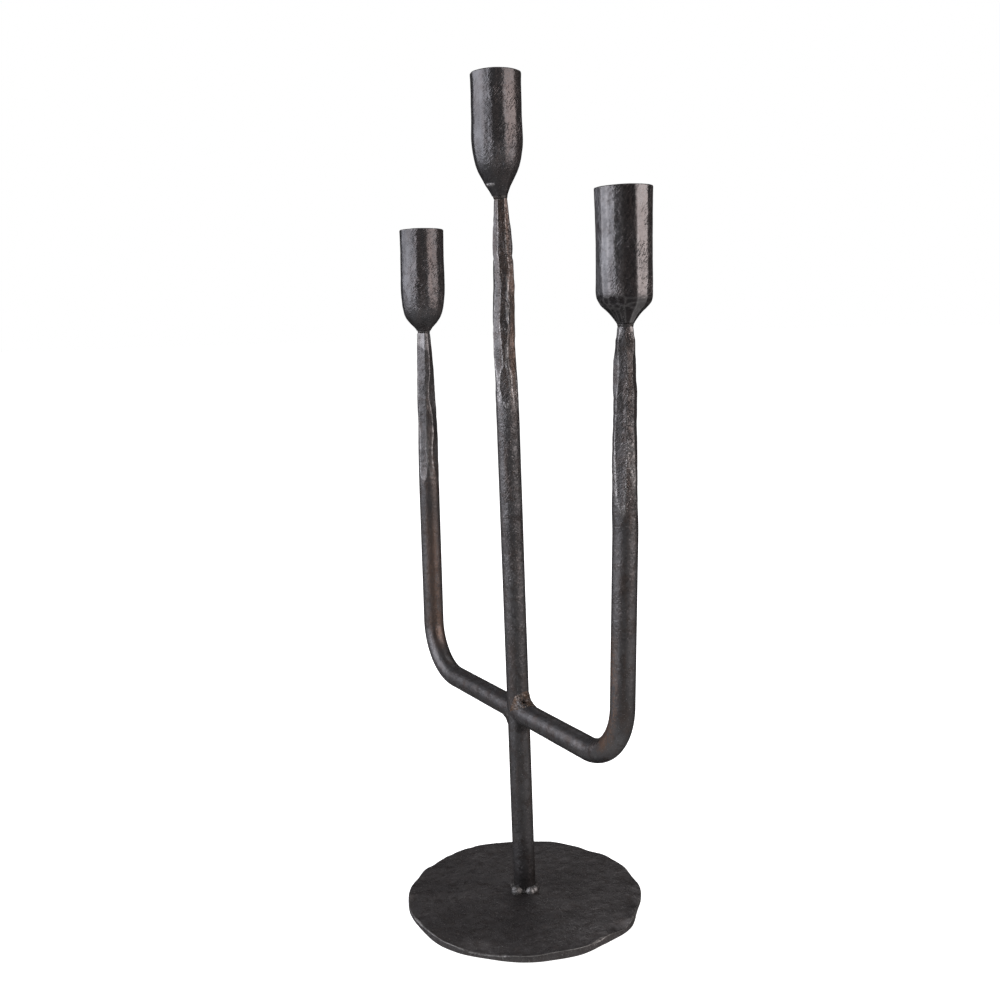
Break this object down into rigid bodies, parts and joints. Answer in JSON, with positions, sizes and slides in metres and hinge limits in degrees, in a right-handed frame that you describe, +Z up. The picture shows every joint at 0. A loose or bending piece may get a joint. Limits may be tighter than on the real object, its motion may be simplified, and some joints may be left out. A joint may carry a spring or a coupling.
{
  "type": "candelabra",
  "caption": "Tabletop candelabra of forged round bar: an upright stem crossed low down by a U-bent arm bar, long tube cups for taper candles, on a hammered round foot.",
  "frame": {"origin": "underside of the foot, on the stem's axis", "axes": "+Z up the stem; +X along the arm bar towards its shorter arm; the front is -Y"},
  "size_m": [0.2251, 0.1276, 0.4382],
  "materials": {
    "bar_iron": "black patina on forged round bar, semi-matt, rubbed brown in places",
    "foot_iron": "black-brown patina on plate, matt, finely pitted",
    "cup_iron": "dark patina on pipe, rubbed, with forge pitting",
    "weld_iron": "lumpy weld bead, brown, rough"
  },
  "bodies": {
    "root": {"foot_plate": "foot_iron", "lower_stem": "bar_iron", "upper_stem": "bar_iron", "arm_bar": "bar_iron", "centre_cup": "cup_iron", "left_cup": "cup_iron", "right_cup": "cup_iron", "foot_weld": "weld_iron", "crossing_weld_top": "weld_iron", "crossing_weld_bottom": "weld_iron", "centre_neck_weld": "weld_iron", "left_neck_weld": "weld_iron", "right_neck_weld": "weld_iron"}
  },
  "joints": []
}
